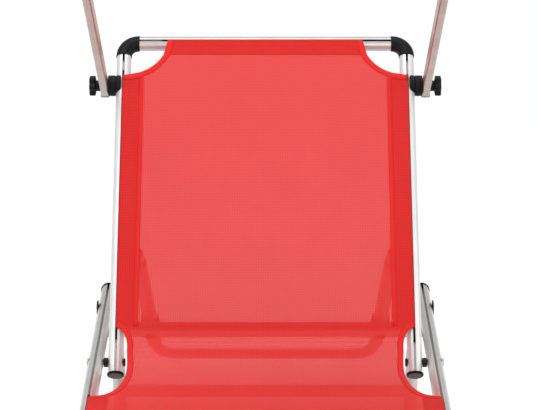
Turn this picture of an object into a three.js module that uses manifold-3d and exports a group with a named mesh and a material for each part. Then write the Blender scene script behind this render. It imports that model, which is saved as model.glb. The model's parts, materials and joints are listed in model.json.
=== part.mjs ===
// A folding sun lounger with a tilting canopy: slotted aluminium tubes, mesh slings and moulded fittings.
// Millimetres, +Z up, the head end towards +Y, the foot end towards -Y, standing on the plane z = 0.
import * as THREE from "three";
import { mergeVertices } from "three/addons/utils/BufferGeometryUtils.js";
import Module from "manifold-3d";

const wasm = await Module();
wasm.setup();

// Driving dimensions of the frame
const frameWidth = 580;
const backrestGap = 7.5;
const railHeight = 280;
const railRear = 368;
const seatLength = 645;
const footLength = 605;
const backLength = 600;
const backTail = 20;
const backAngle = 47;
const canopyAngle = 101;
const canopyReach = 840;
const canopyInset = 83;

// Tubes
const tubeDiameter = 25;
const tubeWall = 1.4;
const slotWidth = 4;
const slotLip = 1.6;
const channelDiameter = 6.8;
const crossDiameter = 20;
const legDiameter = 22;
const bowDiameter = 19;
const sleeveDiameter = 25;
const rodDiameter = 16;
const plainWall = 1.5;

// Clearances, overruns and the weld that closes a mesh
const seatGap = 0.3;
const boreGap = 0.3;
const hingeGap = 1.2;
const overrun = 4;
const weld = 0.001;

// Fittings
const elbowDiameter = 28;
const elbowRadius = 20;
const elbowSocket = 6.7;
const capDiameter = 28;
const capThickness = 4;
const plugDiameter = 10;
const plugLength = 9;
const plugDrop = 4;
const boltDiameter = 8;
const boltHead = 14;
const boltHeadHeight = 3;
const outerHeadHeight = 1.8;
const spacerDiameter = 16;
const discDiameter = 28;
const discThickness = 2.4;
const rivetRound = 1;

// Cross tubes and their places, from the recline axis
const seatCrossBack = 300;
const seatCrossDrop = 11;
const rearCrossPlace = 219;
const rearCrossDrop = 24;
const backCrossPlace = 62;

// Prop that holds the backrest up
const propReach = 178;
const propOffset = 24;
const propTail = 89;
const propAngle = 120.6;
const propPinGap = 0.9;
const propSplay = 24.7;
const propBendRadius = 34;
const propPinDiameter = 8;
const propPinLength = 10.8;
const sleeveTop = 152;
const sleeveTail = 57;
const clipWidth = 16;
const clipWall = 3.2;
const rackThickness = 5.8;
const rackMiddle = 205;
const rackPitch = 30;
const rackNotches = 5;
const rackFront = 6;
const rackRear = 13.5;
const rackEnd = 16;
const notchWidth = 9;
const notchFloor = 8.2;

// Legs
const rearLegInset = 96;
const middleLegInset = 125;
const footLegInset = 135;
const legAngle = 6;
const legStep = 3.7;
const legLean = 6;
const legBendRadius = 60;
const legPlateThickness = 4;
const legRivetHeight = 1.6;
const legPlateWidth = 24;
const legPlateLength = 74;
const legPlateJoin = 12;
const padDiameter = 28;
const padLength = 44;
const padFlat = 0.6;
const padInset = 101;
const braceDiameter = 22;
const bracePlace = 148;

// Foot hinge
const hingePlateThickness = 5;
const hingePlateLength = 46;
const hingePlateHeight = 24;
const hingePinDiameter = 6;
const hingeRise = 4;
const hingeBlockLength = 20;
const hingeBlockHeight = 14;
const hingeRivetPlace = 32;
const washer = 0.4;

// Sling
const slingThickness = 2;
const topCutRadius = 74;
const hingeCutDepth = 19;
const backCutLength = 56;
const seatCutLength = 191;
const backSlingStart = 14;
const seatSlingStart = 8;
const footCutRadius = 34;
const slingEnd = 10;

// Canopy
const armWidth = 13;
const armDepth = 25;
const armWall = 1.6;
const armTail = 23;
const armCorner = 2;
const innerRodPlace = 518;
const clothThickness = 2;
const clothInset = 9.5;
const clothDip = 14;
const valanceDrop = 62;
const valanceRise = 24;
const saddleLength = 36;
const saddleDiameter = 35;
const ribDiameter = 36;
const ribNeck = 32;
const ribPitch = 4.4;
const clampLength = 13.7;
const knobDiameter = 33;
const knobThickness = 12.5;
const knobLobes = 6;
const lobeDepth = 2.6;
const knobNeck = 18;
const knobNeckLength = 6;
const studDiameter = 8;

// Facets
const tubeFacets = 20;
const channelFacets = 6;
const boreFacets = 10;
const roundFacets = 16;
const boltFacets = 10;
const wallFacets = 6;
const legFacets = 12;
const bendFacets = 4;

// Places worked out from the sizes above
const tubeRadius = tubeDiameter / 2;
const railHalf = (frameWidth - tubeDiameter) / 2;
const backHalf = railHalf - tubeDiameter - backrestGap;
const railInner = railHalf - tubeRadius;
const backOuter = backHalf + tubeRadius;
const footHalf = railHalf;
const channelRadius = channelDiameter / 2;
const channelHeight = tubeRadius - slotLip - channelRadius;
const slingBase = tubeRadius + seatGap;
const cornerReach = elbowRadius + seatGap;
const hingeHeight = tubeRadius + hingeRise;
const rackInner = backHalf - tubeRadius - seatGap - rackThickness;
const propTipHalf = rackInner - propPinGap - propPinLength;
const propTailHalf = propTipHalf - propSplay;
const rearLegPlace = railRear - rearLegInset;
const middleLegPlace = seatLength - middleLegInset;
const footLegPlace = seatLength + footLength - footLegInset;
const clampEnd = backOuter + clampLength;
const armInner = clampEnd + seatGap;
const armCentre = armInner + armWidth / 2;
const clothHalf = armInner - clothInset;
const canopyHeight = backLength - canopyInset;

// Finishes
const finishes = {
  aluminium: { color: 0xd9d6d2, roughness: 0.35, metalness: 0.9 },
  plastic: { color: 0x1c1b1d, roughness: 0.5, metalness: 0 },
  mesh: { color: 0xe23a37, roughness: 0.85, metalness: 0 },
};

// Solids

function toSolid(geometry) {
  const bare = geometry.index ? geometry.toNonIndexed() : geometry.clone();
  bare.deleteAttribute("normal");
  bare.deleteAttribute("uv");
  const merged = mergeVertices(bare, weld);
  return new wasm.Manifold(
    new wasm.Mesh({
      numProp: 3,
      vertProperties: merged.attributes.position.array,
      triVerts: new Uint32Array(merged.index.array),
    }),
  );
}

function toGeometry(solid) {
  const mesh = solid.getMesh();
  const geometry = new THREE.BufferGeometry();
  geometry.setAttribute("position", new THREE.BufferAttribute(mesh.vertProperties, mesh.numProp));
  geometry.setIndex(new THREE.BufferAttribute(mesh.triVerts, 1));
  const flat = geometry.toNonIndexed();
  flat.computeVertexNormals();
  return flat;
}

function joined(...geometries) {
  return toGeometry(geometries.map(toSolid).reduce((whole, piece) => whole.add(piece)));
}

function cut(geometry, ...tools) {
  return toGeometry(tools.map(toSolid).reduce((rest, tool) => rest.subtract(tool), toSolid(geometry)));
}

// Shapes and profiles

function arcPoints(x, y, radius, from, to, count) {
  const points = [];
  for (let i = 0; i <= count; i += 1) {
    const angle = from + ((to - from) * i) / count;
    points.push(new THREE.Vector2(x + radius * Math.cos(angle), y + radius * Math.sin(angle)));
  }
  return points;
}

function ringShape(outer, inner, facets, innerFacets = facets) {
  const shape = new THREE.Shape(arcPoints(0, 0, outer, 0, 2 * Math.PI, facets).slice(0, -1));
  if (inner > 0) {
    shape.holes.push(new THREE.Path(arcPoints(0, 0, inner, 0, 2 * Math.PI, innerFacets).slice(0, -1)));
  }
  return shape;
}

// The tube's section has a slot at the top that opens into a round channel, and a bore beside it.
function slottedShape() {
  const lip = Math.asin(slotWidth / 2 / tubeRadius);
  const mouth = Math.asin(slotWidth / 2 / channelRadius);
  const top = Math.PI / 2;
  const shape = new THREE.Shape([
    ...arcPoints(0, 0, tubeRadius, top + lip, top - lip + 2 * Math.PI, tubeFacets),
    ...arcPoints(0, channelHeight, channelRadius, top - mouth, top + mouth - 2 * Math.PI, channelFacets),
  ]);
  const bore = tubeRadius - tubeWall;
  const wall = channelRadius + tubeWall;
  const meetY = (bore ** 2 - wall ** 2 + channelHeight ** 2) / (2 * channelHeight);
  const meetX = Math.sqrt(bore ** 2 - meetY ** 2);
  const boreEnd = Math.atan2(meetY, meetX);
  const wallEnd = Math.atan2(meetY - channelHeight, meetX);
  shape.holes.push(
    new THREE.Path([
      ...arcPoints(0, 0, bore, boreEnd, -Math.PI - boreEnd, boreFacets),
      ...arcPoints(0, channelHeight, wall, -Math.PI - wallEnd, wallEnd, channelFacets).slice(1, -1),
    ]),
  );
  return shape;
}

function extruded(shape, depth) {
  return new THREE.ExtrudeGeometry(shape, { depth, bevelEnabled: false });
}

// An extrusion that runs towards -Y from y = 0, its section's top facing +Z.
function alongY(shape, length) {
  return extruded(shape, length).rotateX(Math.PI / 2);
}

// An extrusion centred on x = 0 that runs along X, its section's top facing +Z.
function alongX(shape, length) {
  return alongY(shape, length)
    .rotateZ(Math.PI / 2)
    .translate(-length / 2, 0, 0);
}

// A turned piece along +X: each pair in the profile is a place and a radius.
function turned(profile, facets) {
  const points = profile.map(([place, radius]) => new THREE.Vector2(radius, place));
  return new THREE.LatheGeometry(points, facets).rotateZ(-Math.PI / 2);
}

function pegX(radius, from, to, facets) {
  return turned([[from, 0], [from, radius], [to, radius], [to, 0]], facets);
}

function pegY(radius, from, to, facets) {
  return pegX(radius, from, to, facets).rotateZ(Math.PI / 2);
}

function block(width, depth, height) {
  return new THREE.BoxGeometry(width, depth, height);
}

// Bent tubes

// A route with rounded corners that a section is swept along, with a ring at each end of a straight.
class BentRoute extends THREE.Curve {
  constructor(corners, radius) {
    super();
    this.stations = [{ place: corners[0], along: corners[1].clone().sub(corners[0]).normalize() }];
    for (let i = 1; i < corners.length - 1; i += 1) {
      this.bend(corners[i - 1], corners[i], corners[i + 1], radius);
    }
    const [before, last] = corners.slice(-2);
    this.stations.push({ place: last, along: last.clone().sub(before).normalize() });
  }

  bend(before, corner, after, radius) {
    const into = corner.clone().sub(before).normalize();
    const out = after.clone().sub(corner).normalize();
    const turn = into.angleTo(out);
    const start = corner.clone().addScaledVector(into, -radius * Math.tan(turn / 2));
    const side = out.clone().addScaledVector(into, -into.dot(out)).normalize();
    for (let i = 0; i <= bendFacets; i += 1) {
      const angle = (turn * i) / bendFacets;
      const place = start.clone().addScaledVector(into, radius * Math.sin(angle));
      place.addScaledVector(side, radius * (1 - Math.cos(angle)));
      const along = into.clone().multiplyScalar(Math.cos(angle)).addScaledVector(side, Math.sin(angle));
      this.stations.push({ place, along });
    }
  }

  getPointAt(share, target = new THREE.Vector3()) {
    return target.copy(this.stations[Math.round(share * (this.stations.length - 1))].place);
  }

  getTangentAt(share, target = new THREE.Vector3()) {
    return target.copy(this.stations[Math.round(share * (this.stations.length - 1))].along);
  }
}

function bentTube(corners, bendRadius, outer, inner, facets) {
  const route = new BentRoute(corners, bendRadius);
  return new THREE.ExtrudeGeometry(ringShape(outer, inner, facets, wallFacets), {
    steps: route.stations.length - 1,
    extrudePath: route,
  });
}

// Pieces

function piece(name, geometry, finish) {
  const mesh = new THREE.Mesh(geometry, new THREE.MeshStandardMaterial(finishes[finish]));
  mesh.name = name;
  return mesh;
}

// One mesh for each side: the maker gets the side's sign, +1 on the right.
function pair(name, finish, maker) {
  return [
    piece(`${name}_left`, maker(-1), finish),
    piece(`${name}_right`, maker(1), finish),
  ];
}

function mirrored(geometry, side) {
  if (side > 0) return geometry;
  const flipped = (geometry.index ? geometry.toNonIndexed() : geometry).clone().scale(-1, 1, 1);
  const places = flipped.attributes.position;
  for (let i = 0; i < places.count; i += 3) {
    const held = new THREE.Vector3().fromBufferAttribute(places, i);
    places.setXYZ(i, places.getX(i + 1), places.getY(i + 1), places.getZ(i + 1));
    places.setXYZ(i + 1, held.x, held.y, held.z);
  }
  flipped.computeVertexNormals();
  return flipped;
}

function slottedSide(half, from, to, boltPlaces) {
  const tube = alongY(slottedShape(), to - from).translate(half, to, 0);
  const holeRadius = boltDiameter / 2 + boreGap;
  const holes = boltPlaces.map((place) =>
    pegX(holeRadius, half - tubeDiameter, half + tubeDiameter, boltFacets).translate(0, place, 0),
  );
  return holes.length ? cut(tube, ...holes) : tube;
}

function crossTube(half, place, height) {
  const shape = ringShape(crossDiameter / 2, crossDiameter / 2 - plainWall, roundFacets);
  const tube = alongX(shape, 2 * half).translate(0, place, height);
  const clear = tubeRadius + seatGap;
  const saddles = [-1, 1].map((side) =>
    pegY(clear, place - tubeDiameter, place + tubeDiameter, tubeFacets).translate(side * half, 0, 0),
  );
  return cut(tube, ...saddles);
}

// A moulded quarter bend whose ends are sockets for the side tube and the end tube.
function elbow(half, place, side) {
  const reach = elbowRadius + elbowSocket;
  const inward = place > 0 ? -1 : 1;
  const corners = [
    new THREE.Vector3(half, place + inward * reach, 0),
    new THREE.Vector3(half, place, 0),
    new THREE.Vector3(half - reach, place, 0),
  ];
  const body = bentTube(corners, elbowRadius, elbowDiameter / 2, 0, roundFacets);
  const socket = tubeRadius + boreGap;
  const depth = reach + overrun;
  const bore = pegX(socket, -depth, -elbowRadius, tubeFacets);
  const sideSocket = bore.clone().rotateZ((-inward * Math.PI) / 2);
  const sockets = [sideSocket.translate(half, place, 0), bore.translate(half, place, 0)];
  return mirrored(cut(body, ...sockets), side);
}

function endTube(half, place) {
  return alongX(slottedShape(), 2 * (half - cornerReach)).translate(0, place, 0);
}

// A cap with a rim outside the tube's end and a plug in its bore, beside the channel.
function endCap(half, place, facing, side) {
  const rim = capDiameter / 2;
  const disc = turned(
    [
      [seatGap, 0],
      [seatGap, rim],
      [capThickness - rivetRound, rim],
      [capThickness, rim - rivetRound],
      [capThickness, 0],
    ],
    tubeFacets,
  );
  const plug = pegX(plugDiameter / 2, -plugLength, capThickness / 2, boltFacets);
  const cap = joined(disc, plug.translate(0, 0, -plugDrop)).rotateZ((facing * Math.PI) / 2);
  return mirrored(cap.translate(half, place, 0), side);
}

// The bolt's shoulder keeps the backrest tube and the rail apart.
function reclineBolt(side) {
  const inner = backHalf - tubeRadius - seatGap;
  const outer = railHalf + tubeRadius + seatGap;
  const shank = boltDiameter / 2;
  const head = boltHead / 2;
  const shoulder = spacerDiameter / 2;
  const bolt = turned(
    [
      [inner - boltHeadHeight, 0],
      [inner - boltHeadHeight, head - rivetRound],
      [inner - boltHeadHeight + rivetRound, head],
      [inner, head],
      [inner, shank],
      [backOuter + seatGap, shank],
      [backOuter + seatGap, shoulder],
      [railInner - seatGap, shoulder],
      [railInner - seatGap, shank],
      [outer, shank],
      [outer, head],
      [outer + outerHeadHeight - rivetRound, head],
      [outer + outerHeadHeight, head - rivetRound],
      [outer + outerHeadHeight, 0],
    ],
    boltFacets,
  );
  return mirrored(bolt, side);
}

const legPlateOuter = railInner - seatGap - washer;

// A leg's pivot bolt: a small head inside, and a black disc cap outside the rail.
function legBolt(place, side) {
  const inner = legPlateOuter - legPlateThickness - seatGap;
  const outer = railHalf + tubeRadius + seatGap;
  const shank = boltDiameter / 2;
  const head = boltHead / 2;
  const disc = discDiameter / 2;
  const headEnd = inner - legRivetHeight;
  const bolt = turned(
    [
      [headEnd, 0],
      [headEnd, head],
      [inner, head],
      [inner, shank],
      [outer, shank],
      [outer, disc],
      [outer + discThickness - rivetRound, disc],
      [outer + discThickness, disc - 2 * rivetRound],
      [outer + discThickness, 0],
    ],
    boltFacets,
  ).translate(0, place, 0);
  return mirrored(bolt, side);
}

// Legs, each made hanging straight down from its pivot at the origin

const rakeAngle = (legAngle * Math.PI) / 180;
const legDrop = (railHeight - padDiameter / 2 + padFlat) / Math.cos(rakeAngle);
const legTopHalf = legPlateOuter - legDiameter / 2 + legStep;
const legLowHalf = legTopHalf - legLean;
const padPlace = legLowHalf - padInset;
const legStart = legPlateLength - legPlateJoin;

function legTube() {
  const corners = [
    new THREE.Vector3(-legTopHalf, 0, -legStart),
    new THREE.Vector3(-legLowHalf, 0, -legDrop),
    new THREE.Vector3(legLowHalf, 0, -legDrop),
    new THREE.Vector3(legTopHalf, 0, -legStart),
  ];
  const outer = legDiameter / 2;
  const tube = bentTube(corners, legBendRadius, outer, outer - plainWall, legFacets);
  const ends = [-1, 1].map((side) => mirrored(legPlate(), side));
  return joined(tube, ...ends);
}

// The leg's flattened end, with a round top about the pivot hole.
function legPlate() {
  const half = legPlateWidth / 2;
  const outline = [
    ...arcPoints(0, 0, half, 0, Math.PI, boltFacets),
    new THREE.Vector2(-half, -legPlateLength + half),
    new THREE.Vector2(-half / 2, -legPlateLength),
    new THREE.Vector2(half / 2, -legPlateLength),
    new THREE.Vector2(half, -legPlateLength + half),
  ];
  const shape = new THREE.Shape(outline);
  shape.holes.push(
    new THREE.Path(arcPoints(0, 0, boltDiameter / 2 + boreGap, 0, 2 * Math.PI, boltFacets).slice(0, -1)),
  );
  const plate = extruded(shape, legPlateThickness).rotateX(Math.PI / 2).rotateZ(Math.PI / 2);
  return plate.translate(legPlateOuter - legPlateThickness, 0, 0);
}

// A foot pad round the leg's lowest bar, cut flat where it stands.
function pad(lean, side) {
  const length = padLength;
  const shape = ringShape(padDiameter / 2, legDiameter / 2 + boreGap, roundFacets);
  const ring = alongX(shape, length).rotateX(Math.PI / roundFacets);
  const floor = block(length + overrun, padDiameter, padDiameter);
  floor.translate(0, 0, -padDiameter + padFlat);
  const flat = cut(ring, floor).rotateX(-lean);
  return flat.translate(side * padPlace, 0, -legDrop);
}

// A brace between the rear leg's side tubes, its ends cut to fit them.
function legBrace() {
  const slope = legLean / (legDrop - legStart);
  const half = legTopHalf - slope * (bracePlace - legStart);
  const outer = braceDiameter / 2;
  const tube = alongX(ringShape(outer, outer - plainWall, roundFacets), 2 * half);
  const saddle = pegX(legDiameter / 2 + seatGap, -braceDiameter, braceDiameter, roundFacets);
  saddle.rotateY(Math.PI / 2 + Math.atan(slope)).translate(half, 0, 0);
  const saddles = [-1, 1].map((side) => mirrored(saddle, side));
  return cut(tube, ...saddles).translate(0, 0, -bracePlace);
}

// A leg with its pads in a group that pivots at the given place and leans by the rake.
function legGroup(name, place, lean) {
  const group = new THREE.Group();
  group.position.set(0, place, 0);
  group.rotation.x = lean;
  group.add(piece(`${name}_leg`, legTube(), "aluminium"));
  group.add(...pair(`${name}_leg_pad`, "plastic", (side) => pad(lean, side)));
  return group;
}

// Foot hinge: a fixed plate inside the rail that carries the pin, and a moving plate inside that one

function hingeOutline() {
  const half = hingePlateHeight / 2;
  const eye = hingePinDiameter / 2 + hingePlateThickness;
  return [
    ...arcPoints(0, hingeHeight, eye, 0, Math.PI, bendFacets),
    new THREE.Vector2(-eye, half - eye),
    new THREE.Vector2(-hingeGap, -half),
    new THREE.Vector2(hingePlateLength, -half),
    new THREE.Vector2(hingePlateLength, half - eye),
    new THREE.Vector2(hingePlateLength - eye, half),
    new THREE.Vector2(eye, half),
  ];
}

// A plate across X whose outline is given in Y and Z, from the inner face outwards.
function plateX(shape, inner, thickness) {
  return extruded(shape, thickness).rotateX(Math.PI / 2).rotateZ(Math.PI / 2).translate(inner, 0, 0);
}

const fixedPlateInner = railInner - seatGap - hingePlateThickness;
const movingPlateInner = fixedPlateInner - seatGap - hingePlateThickness;

function hingeFixed(side) {
  const plate = plateX(new THREE.Shape(hingeOutline()), fixedPlateInner, hingePlateThickness);
  const pinStart = movingPlateInner - washer;
  const pin = pegX(hingePinDiameter / 2, pinStart, fixedPlateInner + overrun, boltFacets);
  const whole = joined(plate, pin.translate(0, 0, hingeHeight));
  return mirrored(whole.translate(0, -seatLength, 0), side);
}

function hingeMoving(side) {
  const shape = new THREE.Shape(hingeOutline());
  const hole = arcPoints(0, hingeHeight, hingePinDiameter / 2 + boreGap, 0, 2 * Math.PI, boltFacets);
  shape.holes.push(new THREE.Path(hole.slice(0, -1)));
  const plate = plateX(shape, movingPlateInner, hingePlateThickness);
  const reach = railInner - seatGap - movingPlateInner;
  const packer = block(reach, hingeBlockLength, hingeBlockHeight);
  packer.translate(movingPlateInner + reach / 2, hingeRivetPlace, 0);
  const rearFacing = joined(plate, packer);
  const whole = mirrored(mirrored(rearFacing.rotateZ(Math.PI), -1), side);
  return whole.translate(0, -seatLength, 0);
}

// Prop: a bow whose arms are sleeved, hung on the rear cross tube by two clips, pointing along +Y

function propHalf(place) {
  const slope = (propTipHalf - propTailHalf) / (propReach + propTail);
  return propTailHalf + slope * (place + propTail);
}

const propArmAngle = Math.atan2(propTipHalf - propTailHalf, propReach + propTail);

function propBow() {
  const corners = [
    new THREE.Vector3(-propTipHalf, propReach, -propOffset),
    new THREE.Vector3(-propTailHalf, -propTail, -propOffset),
    new THREE.Vector3(propTailHalf, -propTail, -propOffset),
    new THREE.Vector3(propTipHalf, propReach, -propOffset),
  ];
  const outer = bowDiameter / 2;
  const bow = bentTube(corners, propBendRadius, outer, outer - plainWall, legFacets);
  const pinPlace = propReach - propPinDiameter;
  const pins = [-1, 1].map((side) => {
    const start = propHalf(pinPlace) + outer - overrun / 2;
    const pin = pegX(propPinDiameter / 2, start, propTipHalf + propPinLength, boltFacets);
    return mirrored(pin.translate(0, pinPlace, -propOffset), side);
  });
  return joined(bow, ...pins);
}

// A piece along the prop's arm: its own axis is Y, and its middle is at the given place on the arm.
function onPropArm(geometry, side) {
  return mirrored(geometry.rotateZ(-propArmAngle).translate(propHalf(0), 0, -propOffset), side);
}

function propSleeve(side) {
  const shape = ringShape(sleeveDiameter / 2, bowDiameter / 2 + boreGap, roundFacets);
  return onPropArm(alongY(shape, sleeveTop + sleeveTail).translate(0, sleeveTop, 0), side);
}

// A moulded clip: a ring that turns on the cross tube, and a collar round the sleeve.
function propClip(side) {
  const ringBore = crossDiameter / 2 + boreGap;
  const collarBore = sleeveDiameter / 2 + boreGap;
  const half = clipWidth / 2;
  const turn = pegX(ringBore + clipWall, -half, half, roundFacets);
  const collar = pegY(collarBore + clipWall, -half, half, roundFacets).rotateZ(-propArmAngle);
  const bridge = block(clipWidth, clipWidth, propOffset).translate(0, 0, -propOffset / 2);
  const whole = joined(turn, collar.translate(0, 0, -propOffset), bridge);
  const through = pegX(ringBore, -clipWidth, clipWidth, roundFacets);
  const sleeve = pegY(collarBore, -clipWidth, clipWidth, roundFacets).rotateZ(-propArmAngle);
  const bored = cut(whole, through, sleeve.translate(0, 0, -propOffset));
  return mirrored(bored.translate(propHalf(0), 0, 0), side);
}

// A notched rack on the inner side of a backrest tube, its notches open to the rear.
function propRack(side) {
  const reach = ((rackNotches - 1) / 2) * rackPitch + rackEnd;
  const half = notchWidth / 2;
  const outline = [new THREE.Vector2(-reach, rackFront), new THREE.Vector2(-reach, -rackRear)];
  for (let i = 0; i < rackNotches; i += 1) {
    const place = (i - (rackNotches - 1) / 2) * rackPitch;
    outline.push(new THREE.Vector2(place - half, -rackRear));
    outline.push(...arcPoints(place, -notchFloor - half, half, Math.PI, 0, bendFacets));
    outline.push(new THREE.Vector2(place + half, -rackRear));
  }
  outline.push(new THREE.Vector2(reach, -rackRear), new THREE.Vector2(reach, rackFront));
  const rack = plateX(new THREE.Shape(outline), rackInner, rackThickness);
  return mirrored(rack.translate(0, rackMiddle, 0), side);
}

// Slings: each outline is listed along its right edge from the head end, then mirrored

function slingSolid(rightEdge) {
  const left = rightEdge.map((point) => new THREE.Vector2(-point.x, point.y)).reverse();
  return extruded(new THREE.Shape([...rightEdge, ...left]), slingThickness).translate(0, 0, slingBase);
}

// The side cut-out at the recline hinge: a quarter of an oval on the backrest, and one on the seat.
const cutShares = [0, 0.25, 0.5, 0.7, 0.85, 0.95, 1];

function cutPoints(start, end) {
  return cutShares.map((share) => {
    const width = backHalf - hingeCutDepth * Math.sqrt(1 - share ** 2);
    return new THREE.Vector2(width, start + share * (end - start));
  });
}

function backCutPoints() {
  return cutPoints(backSlingStart, backCutLength);
}

function seatCutPoints() {
  return [...cutPoints(-seatSlingStart, -seatCutLength), new THREE.Vector2(railHalf, -seatCutLength)];
}

function cornerCut(half, place, radius, from, to) {
  return arcPoints(half, place, radius, from, to, 2 * bendFacets);
}

function backSling() {
  const top = cornerCut(backHalf, backLength, topCutRadius, Math.PI, 1.5 * Math.PI);
  return slingSolid([...top, ...backCutPoints().reverse()]);
}

// Where the sling's end hem, short of the hinge, meets the corner cut-out.
const endTurn = Math.asin(slingEnd / footCutRadius);

function seatSling() {
  const end = cornerCut(railHalf, -seatLength, footCutRadius, Math.PI / 2, Math.PI - endTurn);
  return slingSolid([...seatCutPoints(), ...end]);
}

function footSling() {
  const tubePlace = tubeRadius - seatLength - footLength;
  const start = cornerCut(railHalf, -seatLength, footCutRadius, Math.PI + endTurn, 1.5 * Math.PI);
  const end = cornerCut(railHalf, tubePlace, topCutRadius, Math.PI / 2, Math.PI);
  return slingSolid([...start, ...end]);
}

// Canopy, pointing along +Y from its pivot; at rest the world's up is towards its -Z

const canopyRest = ((backAngle + canopyAngle) * Math.PI) / 180;
const downY = -Math.sin(canopyRest);
const downZ = -Math.cos(canopyRest);
const outerRodPlace = canopyReach - armDepth / 2;

function roundedBar(width, height, radius, wall) {
  const cornerX = width / 2 - radius;
  const cornerY = height / 2 - radius;
  const corner = (sideX, sideY, from) =>
    arcPoints(sideX * cornerX, sideY * cornerY, radius, from, from + Math.PI / 2, 2);
  const outline = [
    ...corner(1, 1, 0),
    ...corner(-1, 1, Math.PI / 2),
    ...corner(-1, -1, Math.PI),
    ...corner(1, -1, 1.5 * Math.PI),
  ];
  const shape = new THREE.Shape(outline);
  const x = width / 2 - wall;
  const y = height / 2 - wall;
  const bore = [[x, y], [-x, y], [-x, -y], [x, -y]].map(([a, b]) => new THREE.Vector2(a, b));
  shape.holes.push(new THREE.Path(bore));
  return shape;
}

function canopyArm(side) {
  const shape = roundedBar(armWidth, armDepth, armCorner, armWall);
  const bar = alongY(shape, canopyReach + armTail).translate(armCentre, canopyReach, 0);
  const hole = pegX(studDiameter / 2 + boreGap, armCentre - armWidth, armCentre + armWidth, boltFacets);
  return mirrored(cut(bar, hole), side);
}

function canopyRod(place) {
  const half = armInner - seatGap;
  const shape = ringShape(rodDiameter / 2, rodDiameter / 2 - plainWall, boltFacets);
  return alongX(shape, 2 * half).translate(0, place, 0);
}

// The cloth's section: round the inner rod, a shallow dip, round the outer rod, then a hanging valance.
function canopyCloth() {
  const wrap = rodDiameter / 2 + seatGap + clothThickness / 2;
  const up = -Math.PI / 2;
  const path = arcPoints(innerRodPlace, 0, wrap, up - Math.PI, up, 2 * bendFacets);
  const run = outerRodPlace - innerRodPlace;
  const steps = 2 * bendFacets;
  for (let i = 1; i < steps; i += 1) {
    const share = i / steps;
    path.push(new THREE.Vector2(innerRodPlace + share * run, 4 * share * (1 - share) * clothDip - wrap));
  }
  const hang = Math.atan2(downZ, downY) - Math.PI / 2;
  path.push(...arcPoints(outerRodPlace, 0, wrap, up, hang, bendFacets));
  const last = path[path.length - 1];
  path.push(new THREE.Vector2(last.x + downY * valanceDrop, last.y + downZ * valanceDrop));
  const sheet = plateX(bandShape(path, clothThickness), -clothHalf, 2 * clothHalf);
  return cut(sheet, valanceCut(last));
}

// The closed outline of a band of even thickness along a path.
function bandShape(path, thickness) {
  const offset = (sign) =>
    path.map((point, i) => {
      const before = path[Math.max(i - 1, 0)];
      const after = path[Math.min(i + 1, path.length - 1)];
      const along = after.clone().sub(before).normalize();
      const reach = (sign * thickness) / 2;
      return new THREE.Vector2(point.x - along.y * reach, point.y + along.x * reach);
    });
  return new THREE.Shape([...offset(1), ...offset(-1).reverse()]);
}

// What is cut away below the valance's lower edge, which rises to the middle in a shallow arc.
function valanceCut(top) {
  const radius = (clothHalf ** 2 + valanceRise ** 2) / (2 * valanceRise);
  const half = Math.asin(clothHalf / radius);
  const centre = valanceDrop - valanceRise + radius;
  const arc = arcPoints(0, centre, radius, -Math.PI / 2 - half, -Math.PI / 2 + half, 3 * bendFacets);
  const low = valanceDrop + overrun;
  const wide = clothHalf + overrun;
  arc.push(new THREE.Vector2(wide, valanceDrop), new THREE.Vector2(wide, low));
  arc.push(new THREE.Vector2(-wide, low), new THREE.Vector2(-wide, valanceDrop));
  const depth = rodDiameter;
  const basis = new THREE.Matrix4().makeBasis(
    new THREE.Vector3(1, 0, 0),
    new THREE.Vector3(0, downY, downZ),
    new THREE.Vector3(0, -downZ, downY),
  );
  const tool = extruded(new THREE.Shape(arc), depth).translate(0, 0, -depth / 2).applyMatrix4(basis);
  return tool.translate(0, top.x, top.y);
}

// A clamp: a saddle round the tube's outer half, with a ribbed spacer towards the arm.
function canopyClamp(side) {
  const grip = tubeRadius + seatGap;
  const half = saddleLength / 2;
  const saddle = pegY(saddleDiameter / 2, -half, half, roundFacets).translate(backHalf, 0, 0);
  const ribs = [[backOuter - overrun, 0], [backOuter - overrun, ribNeck / 2]];
  for (let place = backOuter; place + ribPitch <= clampEnd; place += ribPitch) {
    ribs.push([place, ribNeck / 2], [place + ribPitch / 4, ribDiameter / 2]);
    ribs.push([place + (3 * ribPitch) / 4, ribDiameter / 2], [place + ribPitch, ribNeck / 2]);
  }
  ribs.push([clampEnd, ribNeck / 2], [clampEnd, 0]);
  const whole = joined(saddle, turned(dropRepeats(ribs), tubeFacets));
  const tube = pegY(grip, -saddleLength, saddleLength, tubeFacets).translate(backHalf, 0, 0);
  const opening = block(saddleDiameter, 2 * saddleLength, 2 * saddleDiameter);
  opening.translate(backHalf + slotWidth / 2 + seatGap - saddleDiameter / 2, 0, 0);
  const stud = pegX(studDiameter / 2 + boreGap, backHalf, armCentre, boltFacets);
  return mirrored(cut(whole, tube, opening, stud).translate(0, canopyHeight, 0), side);
}

function dropRepeats(profile) {
  return profile.filter(([place, radius], i) => {
    const next = profile[i + 1];
    return !next || next[0] !== place || next[1] !== radius;
  });
}

// A lobed hand knob on a neck, with the stud that runs through the arm into the clamp.
function knob(side) {
  const outline = [];
  const count = 4 * knobLobes;
  for (let i = 0; i < count; i += 1) {
    const angle = (2 * Math.PI * i) / count;
    const radius = knobDiameter / 2 - (lobeDepth * (1 - Math.cos(knobLobes * angle))) / 2;
    outline.push(new THREE.Vector2(radius * Math.cos(angle), radius * Math.sin(angle)));
  }
  const neckStart = armCentre + armWidth / 2 + seatGap;
  const headStart = neckStart + knobNeckLength;
  const lobes = extruded(new THREE.Shape(outline), knobThickness).rotateY(Math.PI / 2);
  const head = lobes.translate(headStart, 0, 0);
  const neck = pegX(knobNeck / 2, neckStart, headStart + overrun, boltFacets);
  const studEnd = backOuter + seatGap + washer;
  const stud = pegX(studDiameter / 2, studEnd, neckStart + overrun, boltFacets);
  return mirrored(joined(head, neck, stud), side);
}

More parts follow.
